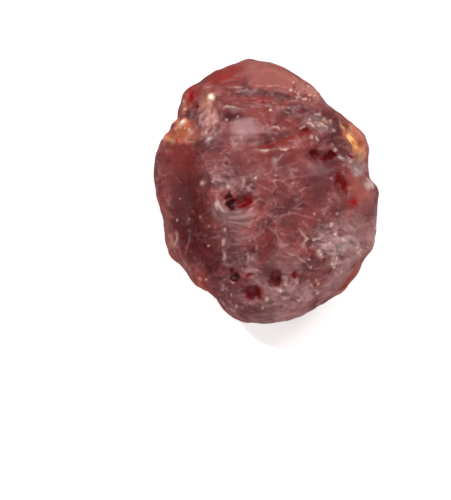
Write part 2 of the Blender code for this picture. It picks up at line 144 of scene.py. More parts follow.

# x, y, radius of each single bead, and how cream-coloured it is, a painted highlight: above 0.5 its middle
# turns white, and from 0.8 it is all white
BEADS = (
    (-1.96, 3.30, 0.135, 1.0), (-2.97, 2.42, 0.120, 0.9), (-1.43, 2.46, 0.050, 0.5),
    (-1.04, 2.61, 0.050, 0.4), (0.11, 2.82, 0.062, 0.9), (-1.78, 2.43, 0.058, 0.3),
    (-2.14, 2.04, 0.065, 0.4), (-0.44, 0.41, 0.058, 0.7), (-0.83, 0.28, 0.060, 0.2),
    (-0.89, 0.04, 0.064, 0.2), (-2.23, 0.25, 0.100, 0.3), (-1.90, 0.31, 0.095, 0.3),
    (0.93, 3.98, 0.050, 0.3), (0.82, 3.53, 0.058, 0.6), (1.04, 3.26, 0.064, 0.5), (1.53, 3.35, 0.060, 0.2),
    (1.91, 2.32, 0.070, 0.3), (2.24, 2.42, 0.075, 0.3), (2.35, 2.12, 0.085, 0.3), (1.52, 1.86, 0.090, 0.4),
    (1.74, 1.78, 0.090, 0.3), (0.63, 1.41, 0.052, 0.7), (0.95, 1.50, 0.050, 0.4), (0.42, 2.16, 0.050, 0.4),
    (2.93, 1.02, 0.070, 0.4), (2.38, -1.52, 0.065, 0.8), (1.38, -1.72, 0.065, 0.4),
    (1.66, -0.85, 0.058, 0.3), (2.48, -0.83, 0.055, 0.3), (2.70, -1.76, 0.110, 0.1),
    (2.69, -2.10, 0.095, 0.2), (3.19, -2.17, 0.070, 0.5), (3.55, -1.99, 0.062, 0.2),
    (3.80, -1.67, 0.056, 0.4), (3.83, -1.35, 0.056, 0.4), (2.32, -2.60, 0.075, 0.5),
    (2.61, -2.87, 0.055, 0.4), (1.90, -2.36, 0.058, 0.2), (2.00, -1.96, 0.065, 0.2),
    (-2.08, -1.98, 0.050, 0.4), (-1.51, -1.40, 0.060, 0.5), (-2.14, -3.10, 0.050, 0.6),
    (-1.12, -4.22, 0.055, 0.3), (-0.18, -4.14, 0.058, 0.4), (-1.29, -3.69, 0.064, 0.4),
    (1.09, -3.24, 0.055, 0.3), (1.12, -3.88, 0.060, 0.4), (0.62, -3.78, 0.060, 0.4),
    (-0.85, -2.73, 0.050, 0.3), (3.66, 0.19, 0.140, 0.3), (0.87, 0.22, 0.050, 0.2),
    (2.26, 0.40, 0.052, 0.2), (-3.10, -0.30, 0.045, 0.3), (-3.18, -1.05, 0.045, 0.4),
)
BEAD_HEIGHT = 0.45  # of its radius
BEAD_PALE = 0.7
BEAD_CORE = 1.3  # how much narrower than the bead its cream-coloured middle, the painted highlight, is

# Patches of grains, where growth hillocks are left standing: place, half sizes, turn, grains, radii, share of
# small pits between them, share of the hillocks that have a bright core, which is a painted glint
GRAIN_PATCHES = {
    "dome_sparkle": ((1.42, 3.52), (0.58, 0.36), 322, 95, (0.035, 0.060), 0.45, 0.45),
    "upright": ((-2.12, 2.50), (0.28, 0.90), 0, 34, (0.045, 0.085), 0.4, 0.20),
    "left_rim_crumbs": ((-3.00, 2.95), (0.20, 0.45), 340, 12, (0.04, 0.07), 0.4, 0.30),
    "recess": ((1.90, 2.35), (0.50, 0.28), 335, 22, (0.045, 0.08), 0.35, 0.45),
    "heart_brim": ((-1.10, 0.15), (0.75, 0.32), 350, 26, (0.045, 0.09), 0.4, 0.25),
    "right_grains": ((2.35, -1.95), (1.15, 0.85), 20, 120, (0.035, 0.090), 0.5, 0.30),
    "foot_grains": ((0.60, -3.60), (1.40, 0.55), 10, 110, (0.035, 0.085), 0.5, 0.20),
    "left_foot": ((-1.05, -3.60), (0.70, 0.65), 0, 40, (0.035, 0.080), 0.5, 0.10),
    "shoulder": ((-2.95, 1.90), (0.42, 0.35), 0, 18, (0.05, 0.09), 0.5, 0.25),
    "flank_grains": ((-2.15, -1.60), (0.65, 1.50), 8, 26, (0.035, 0.070), 0.6, 0.05),
    "table_grains": ((0.80, -0.60), (1.60, 1.40), 0, 80, (0.035, 0.060), 0.5, 0.05),
}
GRAIN_HEIGHT = 0.25  # of its radius
GRAIN_REACH = 2.2  # radii, beyond which a grain is too faint to count
GRAIN_STRENGTHS = (0.3, 1.0)
SPARK_STRENGTHS = (0.4, 0.9)
SPARK_CORE = 1.8  # how much narrower than its grain a bright core, the painted glint, is
STREWN_PALE = 0.5
# Grains and small pits strewn all over: how many, radii, height or depth in radii, share of pits
STREWN = (600, (0.040, 0.095), 0.20, 0.5)

# Lobes and notches of the outline that lie further out or in than in the solid: place, reach, push
SWELLS = (
    ((-3.32, 2.46), 0.17, (-0.06, 0.00)),
    ((-3.44, 2.10), 0.13, (0.07, 0.02)),
    ((-3.66, 1.85), 0.22, (-0.05, 0.03)),
    ((0.90, 4.45), 0.50, (0.03, 0.07)),
    ((1.75, 3.85), 0.45, (0.06, 0.07)),
    ((3.62, 1.50), 0.28, (0.06, 0.00)),
    ((3.40, 2.05), 0.32, (0.06, 0.04)),
    ((0.25, 4.60), 0.50, (0.02, 0.06)),
    ((-3.40, -2.30), 0.35, (-0.04, -0.03)),
)

# Smooth places, where edges are rounded off and the relief of the noise is faint: place, half sizes, turn,
# strength
CALM = {
    "dome": ((-0.05, 4.08), (1.55, 0.48), 350, 1.0),
    "strap": ((1.85, 2.98), (1.00, 0.22), 340, 1.0),
    "mound": ((-0.85, 2.12), (0.60, 0.45), 20, 0.8),
    "trough": ((-1.22, 2.62), (0.42, 0.20), 5, 0.7),
    "under_crack": ((0.25, 0.95), (1.30, 0.42), 5, 0.7),
    "table_left": ((-0.90, 1.30), (0.60, 0.42), 0, 1.0),
    "table_upper": ((-0.85, 0.55), (0.25, 0.40), 0, 0.8),
    "crack_end": ((1.25, 1.72), (0.60, 0.36), 20, 0.9),
    "under_pits": ((1.85, 0.80), (0.55, 0.26), 0, 1.0),
    "side_foot": ((2.70, -0.40), (0.28, 0.30), 0, 0.9),
    "bulge": ((3.45, -0.05), (0.50, 0.65), 0, 0.9),
    "bevel": ((2.75, -2.85), (0.26, 0.95), 322, 0.7),
    "flank": ((-3.00, 0.40), (0.55, 1.20), 5, 0.5),
    "window": ((3.15, 1.85), (0.40, 0.75), 24, 0.4),
    "ember": ((-2.95, 2.05), (0.50, 0.35), 0, 0.6),
}
IRON_ROUNDS = 50

# Where a spot starts to fade and where it ends, in units of its half sizes
CALM_EDGE = (0.6, 1.2)
ZONE_EDGE = (0.40, 1.30)
HAZE_EDGE = (0.45, 1.25)

# How noise pushes places about before something is laid over them: size, reach and offset of the noise
CROOKED = (0.55, 0.22, 3.1)
RAGGED = (0.26, 0.13, 6.3)
BENT = (0.30, 0.07, 2.2)
ZONES_COARSE = (0.70, 0.20, 9.7)
ZONES_FINE = (0.22, 0.12, 1.9)
AXIS_OFFSET = 7.3  # keeps the noises of the three axes apart

# Unevenness all over: size of the lumps and how far they stand out, in mm
LUMPS = ((0.90, 0.050), (0.42, 0.024), (0.20, 0.010))
LUMP_OFFSET = 40  # times the size: keeps the noises of the lumps apart
CALM_GRAINS = 0.7  # how much of the grains calm places lose
CALM_LUMPS = 0.75  # how much of the lumps calm places lose
HOLLOW_ROUNDS = 10
# What stands above this height, in mm, is pressed down by this share of it, which keeps the top inside the
# solid's box
PRESS_HEIGHT = 5.45
PRESS_SHARE = 0.6
WELD = 0.002  # mm
SIDE_CUTS = 2
FRONT_CUTS = 1
ROUNDINGS = (3, 2)  # rounds of smoothing after each of the two cuts
# What is cut finer as the front: the least upward part of a face's normal, and the least height in mm
CUT_TILT = 0.22
CUT_HEIGHT = 2.2
# What carries the front's relief and colours: ranges of the same two, over which it grows from 0 to 1
FRONT_TILT = (0.02, 0.30)
FRONT_HEIGHT = (1.6, 2.8)

# ---------------------------------------------------------------------------------------------------------
# Base colours in linear RGB, tuned until the render came close to the photo

PLUM = (0.160, 0.043, 0.049)
ROSE = (0.320, 0.082, 0.076)
# Maroon is both a tone of the stone and painted shade: on the flank that faces away from the light, in the
# trough, under the steps, in hollows
MAROON_AND_SHADE = (0.100, 0.006, 0.007)  # also the painted shade of hollows and small pits
RED_BROWN = (0.250, 0.028, 0.023)
BLOOD = (0.330, 0.028, 0.020)
GARNET = (0.270, 0.024, 0.017)
CRIMSON = (0.360, 0.0010, 0.0030)
# Black red is painted shade, at the bottom of the darkest pits
BLACK_RED_SHADE = (0.045, 0.0010, 0.0015)
LAVENDER = (0.450, 0.270, 0.275)
MAUVE = (0.360, 0.180, 0.172)
GREY_MAUVE = (0.210, 0.115, 0.113)
# Milk is painted highlight: white spots and light lines where the light falls
MILK_HIGHLIGHT = (0.660, 0.540, 0.520)
TAN = (0.560, 0.260, 0.195)
SALMON = (0.400, 0.136, 0.115)
# The terracotta, orange, red-orange, honey and gold colours are painted glow: light coming through thin lobes
# and edges, and shining back from inside
TERRACOTTA_GLOW = (0.440, 0.130, 0.080)
UMBER = (0.225, 0.060, 0.056)
ORANGE_GLOW = (0.580, 0.160, 0.060)
RED_ORANGE_GLOW = (0.300, 0.040, 0.014)
BROWN = (0.170, 0.030, 0.008)
HONEY_GLOW = (0.700, 0.390, 0.220)
GOLD_GLOW = (0.900, 0.580, 0.230)
# Cream and white are painted highlights and glints; pale is frosted skin and painted highlight on crests
CREAM_HIGHLIGHT = (0.900, 0.720, 0.560)
PALE_FROST_AND_HIGHLIGHT = (0.540, 0.370, 0.365)
WHITE_HIGHLIGHT = (0.960, 0.850, 0.720)

# Colour zones of the front, painted in this order: colour, place, half sizes, turn, strength. Some of them
# paint light and shade: glows, highlights and shaded places, as said above each
ZONES = (
    (SALMON, (0.30, 4.00), (1.60, 0.55), 345, 0.75),
    # Painted glow of light through the dome's thin top edge
    (TERRACOTTA_GLOW, (0.60, 4.33), (1.30, 0.30), 338, 0.60),
    (GARNET, (-1.70, 4.16), (0.78, 0.30), 25, 1.00),
    (BLOOD, (-1.20, 4.24), (0.40, 0.16), 20, 0.60),
    (GARNET, (-1.15, 3.78), (0.50, 0.22), 10, 0.40),
    # Painted shade: the dark band under the dome's steps, where the step faces away from the light
    (MAROON_AND_SHADE, (0.05, 3.30), (1.25, 0.15), 350, 0.60),
    (RED_BROWN, (-0.30, 3.07), (0.95, 0.15), 350, 0.25),
    (BLOOD, (-2.68, 3.42), (0.30, 0.44), 350, 0.95),
    # Painted glow of light through the thin corner and the top of the upright ridge
    (ORANGE_GLOW, (-2.93, 3.12), (0.10, 0.42), 345, 0.70),
    (TAN, (-2.08, 2.75), (0.24, 0.90), 0, 0.80),
    (ORANGE_GLOW, (-2.15, 3.30), (0.14, 0.26), 0, 0.35),
    # Painted shade in the trough
    (MAROON_AND_SHADE, (-1.22, 2.60), (0.50, 0.28), 5, 0.95),
    (LAVENDER, (-0.85, 2.17), (0.58, 0.40), 20, 0.70),
    (RED_BROWN, (0.50, 2.35), (0.80, 0.30), 350, 0.35),
    (UMBER, (1.85, 2.98), (1.00, 0.18), 340, 0.90),
    (MAROON_AND_SHADE, (0.25, 0.95), (0.90, 0.30), 5, 0.10),
    (TAN, (1.45, 3.52), (0.60, 0.36), 322, 0.40),
    (MAUVE, (1.85, 2.30), (0.60, 0.34), 335, 0.90),
    (MAROON_AND_SHADE, (2.45, 1.85), (0.38, 0.40), 0, 0.55),
    # The window lobe: painted glow of light through it, with a gold core, honey edges and brown specks
    (TERRACOTTA_GLOW, (3.15, 1.85), (0.42, 0.78), 24, 0.92),
    (ORANGE_GLOW, (3.20, 1.80), (0.22, 0.50), 20, 0.40),
    (HONEY_GLOW, (3.30, 1.36), (0.28, 0.32), 0, 0.80),
    (ORANGE_GLOW, (3.07, 1.68), (0.12, 0.42), 10, 0.80),
    (GOLD_GLOW, (3.04, 1.77), (0.075, 0.30), 8, 1.00),
    (HONEY_GLOW, (2.68, 2.20), (0.10, 0.30), 30, 0.75),
    (HONEY_GLOW, (3.02, 2.15), (0.12, 0.16), 0, 0.50),
    (BROWN, (2.83, 2.27), (0.17, 0.12), 340, 0.90),
    (BROWN, (3.30, 1.74), (0.10, 0.12), 0, 0.60),
    (TAN, (3.36, 1.97), (0.14, 0.14), 0, 0.60),
    (LAVENDER, (3.22, 0.90), (0.42, 0.24), 350, 0.75),
    # Painted glow: a small orange spot lit from inside
    (ORANGE_GLOW, (2.03, 2.42), (0.10, 0.11), 0, 0.60),
    # The ember lobe and its shoulder: painted glow of light through them
    (ORANGE_GLOW, (-3.02, 2.40), (0.30, 0.30), 0, 0.90),
    (HONEY_GLOW, (-3.24, 2.30), (0.14, 0.26), 330, 0.80),
    (BROWN, (-2.99, 2.80), (0.18, 0.08), 0, 0.55),
    (TERRACOTTA_GLOW, (-2.85, 1.97), (0.62, 0.36), 20, 0.90),
    (ORANGE_GLOW, (-3.10, 1.98), (0.50, 0.26), 20, 0.60),
    (ORANGE_GLOW, (-3.52, 1.95), (0.18, 0.22), 330, 0.60),
    (HONEY_GLOW, (-3.42, 1.74), (0.28, 0.11), 325, 0.65),
    (TAN, (-2.75, 1.80), (0.22, 0.12), 0, 0.60),
    (RED_BROWN, (-3.05, 0.85), (0.72, 1.00), 5, 0.92),
    (GARNET, (-2.85, 1.00), (0.50, 0.60), 5, 0.40),
    # Painted shade on the left flank, which faces away from the light
    (MAROON_AND_SHADE, (-2.80, -0.90), (0.88, 1.90), 6, 0.97),
    (MAROON_AND_SHADE, (-2.00, -2.35), (0.60, 0.90), 20, 0.90),
    (RED_BROWN, (-3.66, -0.10), (0.12, 1.20), 2, 0.45),
    (TAN, (-3.38, -1.75), (0.18, 0.35), 10, 0.40),
    (GARNET, (-0.10, 1.62), (0.50, 0.12), 8, 1.00),
    (BLOOD, (0.62, 1.80), (0.80, 0.11), 13, 0.80),
    (GARNET, (1.38, 2.04), (0.45, 0.14), 20, 0.90),
    # Painted highlight along the crack's lower lip
    (SALMON, (-0.05, 1.46), (0.60, 0.07), 0, 0.50),
    (RED_BROWN, (0.10, 1.05), (1.00, 0.32), 0, 0.45),
    (MAROON_AND_SHADE, (0.10, 1.05), (1.00, 0.32), 0, 0.15),
    (PLUM, (-1.30, 0.90), (0.45, 0.55), 0, 0.60),
    (PLUM, (1.90, 0.30), (0.65, 0.85), 0, 0.80),
    (MAROON_AND_SHADE, (1.90, 1.30), (0.60, 0.28), 0, 0.70),
    (GARNET, (0.05, -1.95), (0.30, 0.72), 352, 0.45),
    (SALMON, (3.38, -0.05), (0.50, 0.70), 0, 0.55),
    (GREY_MAUVE, (-1.35, -0.85), (0.75, 0.45), 340, 0.75),
    (PLUM, (-1.25, -1.95), (0.42, 0.85), 5, 0.80),
    (MAROON_AND_SHADE, (-1.25, -1.95), (0.42, 0.85), 5, 0.15),
    (PLUM, (-1.30, -3.60), (0.65, 0.60), 0, 0.90),
    (GARNET, (3.00, -0.42), (0.34, 0.22), 0, 0.70),
    (BLOOD, (3.45, 0.50), (0.30, 0.07), 340, 0.60),
    # Painted highlight: the white spot on the bulge
    (MILK_HIGHLIGHT, (3.66, 0.19), (0.16, 0.17), 0, 0.45),
    (MAUVE, (0.60, -3.75), (1.30, 0.50), 10, 0.85),
    (MAUVE, (0.70, -2.55), (0.80, 0.60), 0, 0.40),
    (SALMON, (3.30, -1.50), (0.50, 0.85), 0, 0.35),
    (MAUVE, (3.10, -1.75), (0.70, 1.00), 0, 0.95),
    (LAVENDER, (3.78, -1.50), (0.22, 0.90), 350, 0.60),
    (LAVENDER, (0.60, -4.40), (1.20, 0.22), 8, 0.50),
    (LAVENDER, (2.55, -1.85), (0.55, 0.50), 0, 0.50),
    # Painted highlights over the right grains and along the chain of beads
    (MILK_HIGHLIGHT, (2.70, -1.85), (0.32, 0.32), 0, 0.40),
    (CREAM_HIGHLIGHT, (2.32, -2.55), (0.08, 0.22), 350, 0.40),
    # Painted glow of light through the thin bevel edge
    (RED_ORANGE_GLOW, (2.92, -3.28), (0.20, 0.80), 322, 0.95),
    (SALMON, (3.14, -2.95), (0.12, 0.50), 322, 0.45),
    (MAUVE, (2.50, -2.95), (0.28, 0.95), 322, 0.70),
    # Painted glow of light through the thin heel lobe
    (RED_ORANGE_GLOW, (-2.42, -3.20), (0.34, 0.26), 30, 0.65),
    # Painted highlights: the lit lip of the heart pits, the thin ridge and the top of the bulge
    (MILK_HIGHLIGHT, (-1.70, -0.50), (0.08, 0.24), 28, 0.70),
    (MILK_HIGHLIGHT, (2.50, 1.32), (0.42, 0.045), 315, 0.60),
    (MILK_HIGHLIGHT, (3.30, 0.68), (0.14, 0.10), 0, 0.70),
    (TAN, (-1.64, 0.24), (0.12, 0.08), 0, 0.60),
)

# Haze that the veins break up: place, half sizes, turn, strength
HAZE = {
    "mound": ((-0.85, 2.00), (0.75, 0.50), 20, 0.70),
    "heart_brim": ((-1.45, -0.75), (0.50, 0.42), 330, 0.50),
    "heart_foot": ((-0.90, -1.05), (0.60, 0.30), 0, 0.40),
    "upper_heart": ((-1.10, 0.20), (0.85, 0.28), 355, 0.55),
    "ridge_low": ((-1.20, -1.90), (0.40, 0.95), 5, 0.45),
    "foot_band": ((-0.45, -2.75), (0.35, 0.95), 35, 0.75),
    "right_grains": ((2.40, -1.75), (0.90, 0.85), 0, 0.95),
    "foot": ((0.60, -3.75), (1.30, 0.50), 10, 0.75),
    "bevel": ((2.60, -2.90), (0.30, 0.90), 322, 0.75),
    "bulge_top": ((3.20, 0.80), (0.50, 0.26), 340, 0.80),
    "rim": ((-3.55, -0.60), (0.14, 1.30), 4, 0.10),
    "recess": ((1.80, 2.35), (0.50, 0.32), 330, 0.50),
    "table_right": ((1.50, 0.95), (0.40, 0.40), 0, 0.15),
    "upright": ((-2.12, 2.30), (0.32, 0.70), 0, 0.60),
    "steps": ((-0.60, 3.45), (0.90, 0.25), 350, 0.20),
    "left_foot": ((-1.10, -3.75), (0.60, 0.45), 0, 0.20),
    "table_left": ((-1.00, 1.55), (0.50, 0.30), 340, 0.60),
}

# ---------------------------------------------------------------------------------------------------------
# Camera, in mm

VIEW_SCALE = 28.0  # pixels of the 500 px high frame to a millimetre, at the stone's widest section
FRAME_HEIGHT = 500.0
STONE_IN_VIEW = (266.6, 191.15)  # the pixel that the middle of the outline falls on
FRAME_MIDDLE = (225.5, 250.0)
GIRDLE = 2.5
LENS = 300.0
SENSOR = 36.0
CLIP = (10, 2000)

# ---------------------------------------------------------------------------------------------------------
# Light and floor, in mm

WARM = (1.0, 0.955, 0.945)
# name, place, size, power, whether the stone's gloss shows it
LAMPS = (
    ("key", (100, 130, 150), 100, 0.375, False),
    ("glint", (-70, 60, 180), 8, 0.10, True),
    ("left_fill", (-170, 30, 110), 150, 0.18, False),
    ("foot_fill", (30, -170, 110), 150, 0.18, False),
)
WORLD_STRENGTH = 0.15
FLOOR_SIZE = 600
FLOOR_GREY = 0.93
FLOOR_GLOW = 0.35

# ---------------------------------------------------------------------------------------------------------
# Material

IOR = 1.72  # spinel's own
SPECULAR = 0.22  # turned down for the dull, waterworn skin
TRANSMISSION = 0.12
SCATTER_RADIUS = (1.0, 0.30, 0.25)
SCATTER_SCALE = 0.70  # mm
BUMP_DEPTH = 0.010  # mm
BUMP_STRENGTH = 0.8
CALM_LOOKS = 0.7  # how much of the noise calm places lose
THREAD_WIDTH = 0.032
THREAD_SHARE = 0.28
PAINT_OVER_THREADS = 0.8  # how much of the threads the painted zones hide
ROUGH = (0.31, 0.40)
CREAM_POLISH = 0.14  # how much less rough the cream-coloured places are


def smooth_step(low, high, value):
    t = np.clip((value - low) / (high - low), 0.0, 1.0)
    return t * t * (3 - 2 * t)


def spot_distance(place, half_sizes, turn, x, y):
    """Distance from a spot's centre in units of its half sizes."""
    angle = math.radians(turn)
    dx, dy = x - place[0], y - place[1]
    u = dx * math.cos(angle) + dy * math.sin(angle)
    v = -dx * math.sin(angle) + dy * math.cos(angle)
    return np.hypot(u / half_sizes[0], v / half_sizes[1])


def line_distance(line, x, y):
    """Distance to a bent line, and how far along it the nearest point is, from 0 to 1."""
    lengths = [math.dist(a, b) for a, b in zip(line, line[1:])]
    nearest = np.full(len(x), np.inf)
    along = np.zeros(len(x))
    before = 0.0
    for (ax, ay), (bx, by), length in zip(line, line[1:], lengths):
        ux, uy = (bx - ax) / length, (by - ay) / length
        t = np.clip((x - ax) * ux + (y - ay) * uy, 0.0, length)
        away = np.hypot(x - ax - t * ux, y - ay - t * uy)
        closer = away < nearest
        nearest[closer] = away[closer]
        along[closer] = (before + t[closer]) / sum(lengths)
        before += length
    return nearest, along


def noise_at(points, size, offset=(0.0, 0.0, 0.0)):
    shift = Vector(offset)
    return np.array([noise.noise(Vector(p) / size + shift) for p in points])


def warped(points, size, reach, offset):
    """The points pushed about by noise, so that what is laid over them comes out crooked."""
    push = [noise_at(points, size, (offset + axis * AXIS_OFFSET, offset, -offset)) for axis in range(3)]
    return points + reach * np.array(push).T


# ---------------------------------------------------------------------------------------------------------
# The stone


def relax(mesh, values, rounds):
    """Averages values with those of the neighbouring vertices."""
    edges = np.empty(len(mesh.edges) * 2, np.int64)
    mesh.edges.foreach_get("vertices", edges)
    a, b = edges.reshape(-1, 2).T
    count = np.bincount(a, minlength=len(values)) + np.bincount(b, minlength=len(values))
    for _ in range(rounds):
        total = np.bincount(a, values[b], len(values)) + np.bincount(b, values[a], len(values))
        values = 0.5 * values + 0.5 * total / count
    return values


def read_mesh(mesh):
    """Places in mm and normals of a mesh's vertices."""
    count = len(mesh.vertices)
    places, normals = np.empty(count * 3), np.empty(count * 3)
    mesh.vertices.foreach_get("co", places)
    mesh.vertices.foreach_get("normal", normals)
    return places.reshape(-1, 3) / MM, normals.reshape(-1, 3)


def write_places(mesh, places):
    mesh.vertices.foreach_set("co", (places * MM).ravel())
    mesh.update()


def cut(mesh, cuts, rounds, front_only):
    """Cuts the faces finer, those of the front alone if so told, and rounds the result."""
    shape = bmesh.new()
    shape.from_mesh(mesh)
    edges = shape.edges
    if front_only:
        front = [
            f for f in shape.faces
            if f.normal.z > CUT_TILT and f.calc_center_median().z > CUT_HEIGHT * MM
        ]
        edges = list({edge for face in front for edge in face.edges})
    bmesh.ops.subdivide_edges(shape, edges=edges, cuts=cuts, use_grid_fill=True)
    shape.to_mesh(mesh)
    shape.free()
    places = read_mesh(mesh)[0]
    write_places(mesh, np.array([relax(mesh, places[:, axis], rounds) for axis in range(3)]).T)


def fine_solid():
    """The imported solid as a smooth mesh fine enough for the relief."""
    shape = bmesh.new()
    shape.from_mesh(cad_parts[NODE].data)
    bmesh.ops.remove_doubles(shape, verts=shape.verts, dist=WELD * MM)
    bmesh.ops.join_triangles(
        shape, faces=shape.faces, angle_face_threshold=math.pi, angle_shape_threshold=math.pi,
        cmp_seam=False, cmp_sharp=False, cmp_uvs=False, cmp_vcols=False, cmp_materials=False,
    )
    mesh = bpy.data.meshes.new("spinel")
    shape.to_mesh(mesh)
    shape.free()
    cut(mesh, SIDE_CUTS, ROUNDINGS[0], front_only=False)
    cut(mesh, FRONT_CUTS, ROUNDINGS[1], front_only=True)
    return mesh


def front_share(places, normals):
    """1 on the front, which faces up, falling to 0 down the sides and on the back."""
    return smooth_step(*FRONT_TILT, normals[:, 2]) * smooth_step(*FRONT_HEIGHT, places[:, 2])


def swell(places):
    """Pushes the outline's lobes and notches further out or in."""
    for (x, y), reach, push in SWELLS:
        share = np.exp(-(((places[:, 0] - x) ** 2 + (places[:, 1] - y) ** 2) / reach ** 2))
        places[:, :2] += share[:, None] * np.array(push)


def spread(forms, places, inner, outer):
    """The strongest of some spots at each vertex."""
    share = np.zeros(len(places))
    for place, half_sizes, turn, strength in forms.values():
        away = spot_distance(place, half_sizes, turn, places[:, 0], places[:, 1])
        share = np.maximum(share, strength * (1 - smooth_step(inner, outer, away)))
    return share


def iron(mesh, places, normals, share, rounds):
    """Rounds off the edges where share is near 1, and moves vertices along their normals alone."""
    smooth = np.array([relax(mesh, places[:, axis], rounds) for axis in range(3)]).T
    rise = np.einsum("ij,ij->i", smooth - places, normals)
    return places + (share * rise)[:, None] * normals


def pit_relief(places):
    """Depth of the pits, how far each vertex is in a pit's own colour, and how dark that pit is painted,
    which is painted shade.
    """
    relief, inside, pit_shade = np.zeros((3, len(places)))
    for place, half_sizes, turn, depth, darkness in PITS.values():
        away = spot_distance(place, half_sizes, turn, places[:, 0], places[:, 1])
        relief -= depth * (1 - smooth_step(0.0, PIT_REACH, away))
        share = 1 - smooth_step(*PIT_RIM, away)
        inside = np.maximum(inside, share)
        pit_shade += (darkness - pit_shade) * share
    return relief, inside, pit_shade


def wrinkle_relief(places, broken):
    """Height of the named lines and beads, how pale they are, which is partly frosted skin and partly painted
    highlight, and how cream-coloured, which is painted highlight.
    """
    x, y = places[:, 0], places[:, 1]
    relief, pale, cream_highlight = np.zeros((3, len(x)))
    for line, half_width, height, tint in WRINKLES.values():
        away, along = line_distance(line, x, y)
        taper = smooth_step(0.0, TAPER, along) * smooth_step(0.0, TAPER, 1 - along)
        crest = broken ** (1 - CREAM_WHOLE * tint) * taper * np.exp(-((away / half_width) ** 2))
        relief += height * crest
        pale = np.maximum(pale, crest * min(height / BOLD_HEIGHT, 1.0))
        cream_highlight = np.maximum(cream_highlight, tint * crest ** 2)
    for bead_x, bead_y, radius, tint in BEADS:
        away = np.hypot(x - bead_x, y - bead_y) / radius
        crest = np.exp(-(away ** 2))
        relief += BEAD_HEIGHT * radius * crest
        pale = np.maximum(pale, BEAD_PALE * crest)
        cream_highlight = np.maximum(cream_highlight, tint * np.exp(-((BEAD_CORE * away) ** 2)))
    return relief, pale, cream_highlight


def grain_relief(places, draw):
    """Hillocks and small pits over the grain patches, how pale the hillocks are, partly frosted skin and
    partly painted highlight, how dark the pits are, painted shade, and the painted glints on some.
    """
    x, y = places[:, 0], places[:, 1]
    relief, pale, sparks = np.zeros((3, len(x)))
    for (cx, cy), (half_x, half_y), turn, count, (least, most), pits, bright in GRAIN_PATCHES.values():
        angle = math.radians(turn)
        for _ in range(count):
            reach, way = math.sqrt(draw.random()), draw.uniform(0, 2 * math.pi)
            u, v = reach * half_x * math.cos(way), reach * half_y * math.sin(way)
            gx = cx + u * math.cos(angle) - v * math.sin(angle)
            gy = cy + u * math.sin(angle) + v * math.cos(angle)
            radius = draw.uniform(least, most)
            side = -1 if draw.random() < pits else 1
            near = np.hypot(x - gx, y - gy) < GRAIN_REACH * radius
            away = np.hypot(x[near] - gx, y[near] - gy) / radius
            crest = side * draw.uniform(*GRAIN_STRENGTHS) * np.exp(-(away ** 2))
            relief[near] += GRAIN_HEIGHT * radius * crest
            pale[near] += crest
            if side > 0 and draw.random() < bright:
                spark = draw.uniform(*SPARK_STRENGTHS) * np.exp(-((SPARK_CORE * away) ** 2))
                sparks[near] = np.maximum(sparks[near], spark)
    return relief, np.clip(pale, -1, 1), sparks


def strewn_relief(places, draw):
    """Hillocks and small pits all over the stone, how pale the hillocks are, partly frosted skin and partly
    painted highlight, and how dark the pits are, painted shade.
    """
    count, (least, most), height, pits = STREWN
    tree = KDTree(len(places))
    for i, place in enumerate(places):
        tree.insert(place, i)
    tree.balance()
    relief, pale = np.zeros(len(places)), np.zeros(len(places))
    low, high = places.min(axis=0), places.max(axis=0)
    for _ in range(count):
        middle = tree.find(draw.uniform(low, high))[0]
        radius = draw.uniform(least, most)
        side = -1 if draw.random() < pits else 1
        for _, i, away in tree.find_range(middle, GRAIN_REACH * radius):
            crest = side * math.exp(-((away / radius) ** 2))
            relief[i] += height * radius * crest
            pale[i] += STREWN_PALE * crest
    return relief, np.clip(pale, -1, 1)


def stronger(a, b):
    """Of two sets of values, the one that is further from 0 at each vertex."""
    return np.where(np.abs(a) > np.abs(b), a, b)


def hollowness(mesh, places, normals, rounds):
    """How far each vertex lies below the neighbourhood's mean, in mm: pits are above 0, and crests below."""
    mean = np.array([relax(mesh, places[:, axis], rounds) for axis in range(3)]).T
    return np.einsum("ij,ij->i", mean - places, normals)


def painted(places, front):
    """Colour and cover of the zones, laid over each other in their order."""
    colour, cover = np.zeros((len(places), 3)), np.zeros(len(places))
    for tint, place, half_sizes, turn, strength in ZONES:
        away = spot_distance(place, half_sizes, turn, places[:, 0], places[:, 1])
        share = front * strength * (1 - smooth_step(*ZONE_EDGE, away))
        colour = colour * (1 - share[:, None]) + share[:, None] * np.array(tint)
        cover = cover * (1 - share) + share
    return np.column_stack((colour / np.maximum(cover, 1e-6)[:, None], cover))


def put_attribute(mesh, name, values):
    attribute = mesh.attributes.new(name, "FLOAT", "POINT")
    attribute.data.foreach_set("value", np.asarray(values, np.float32))


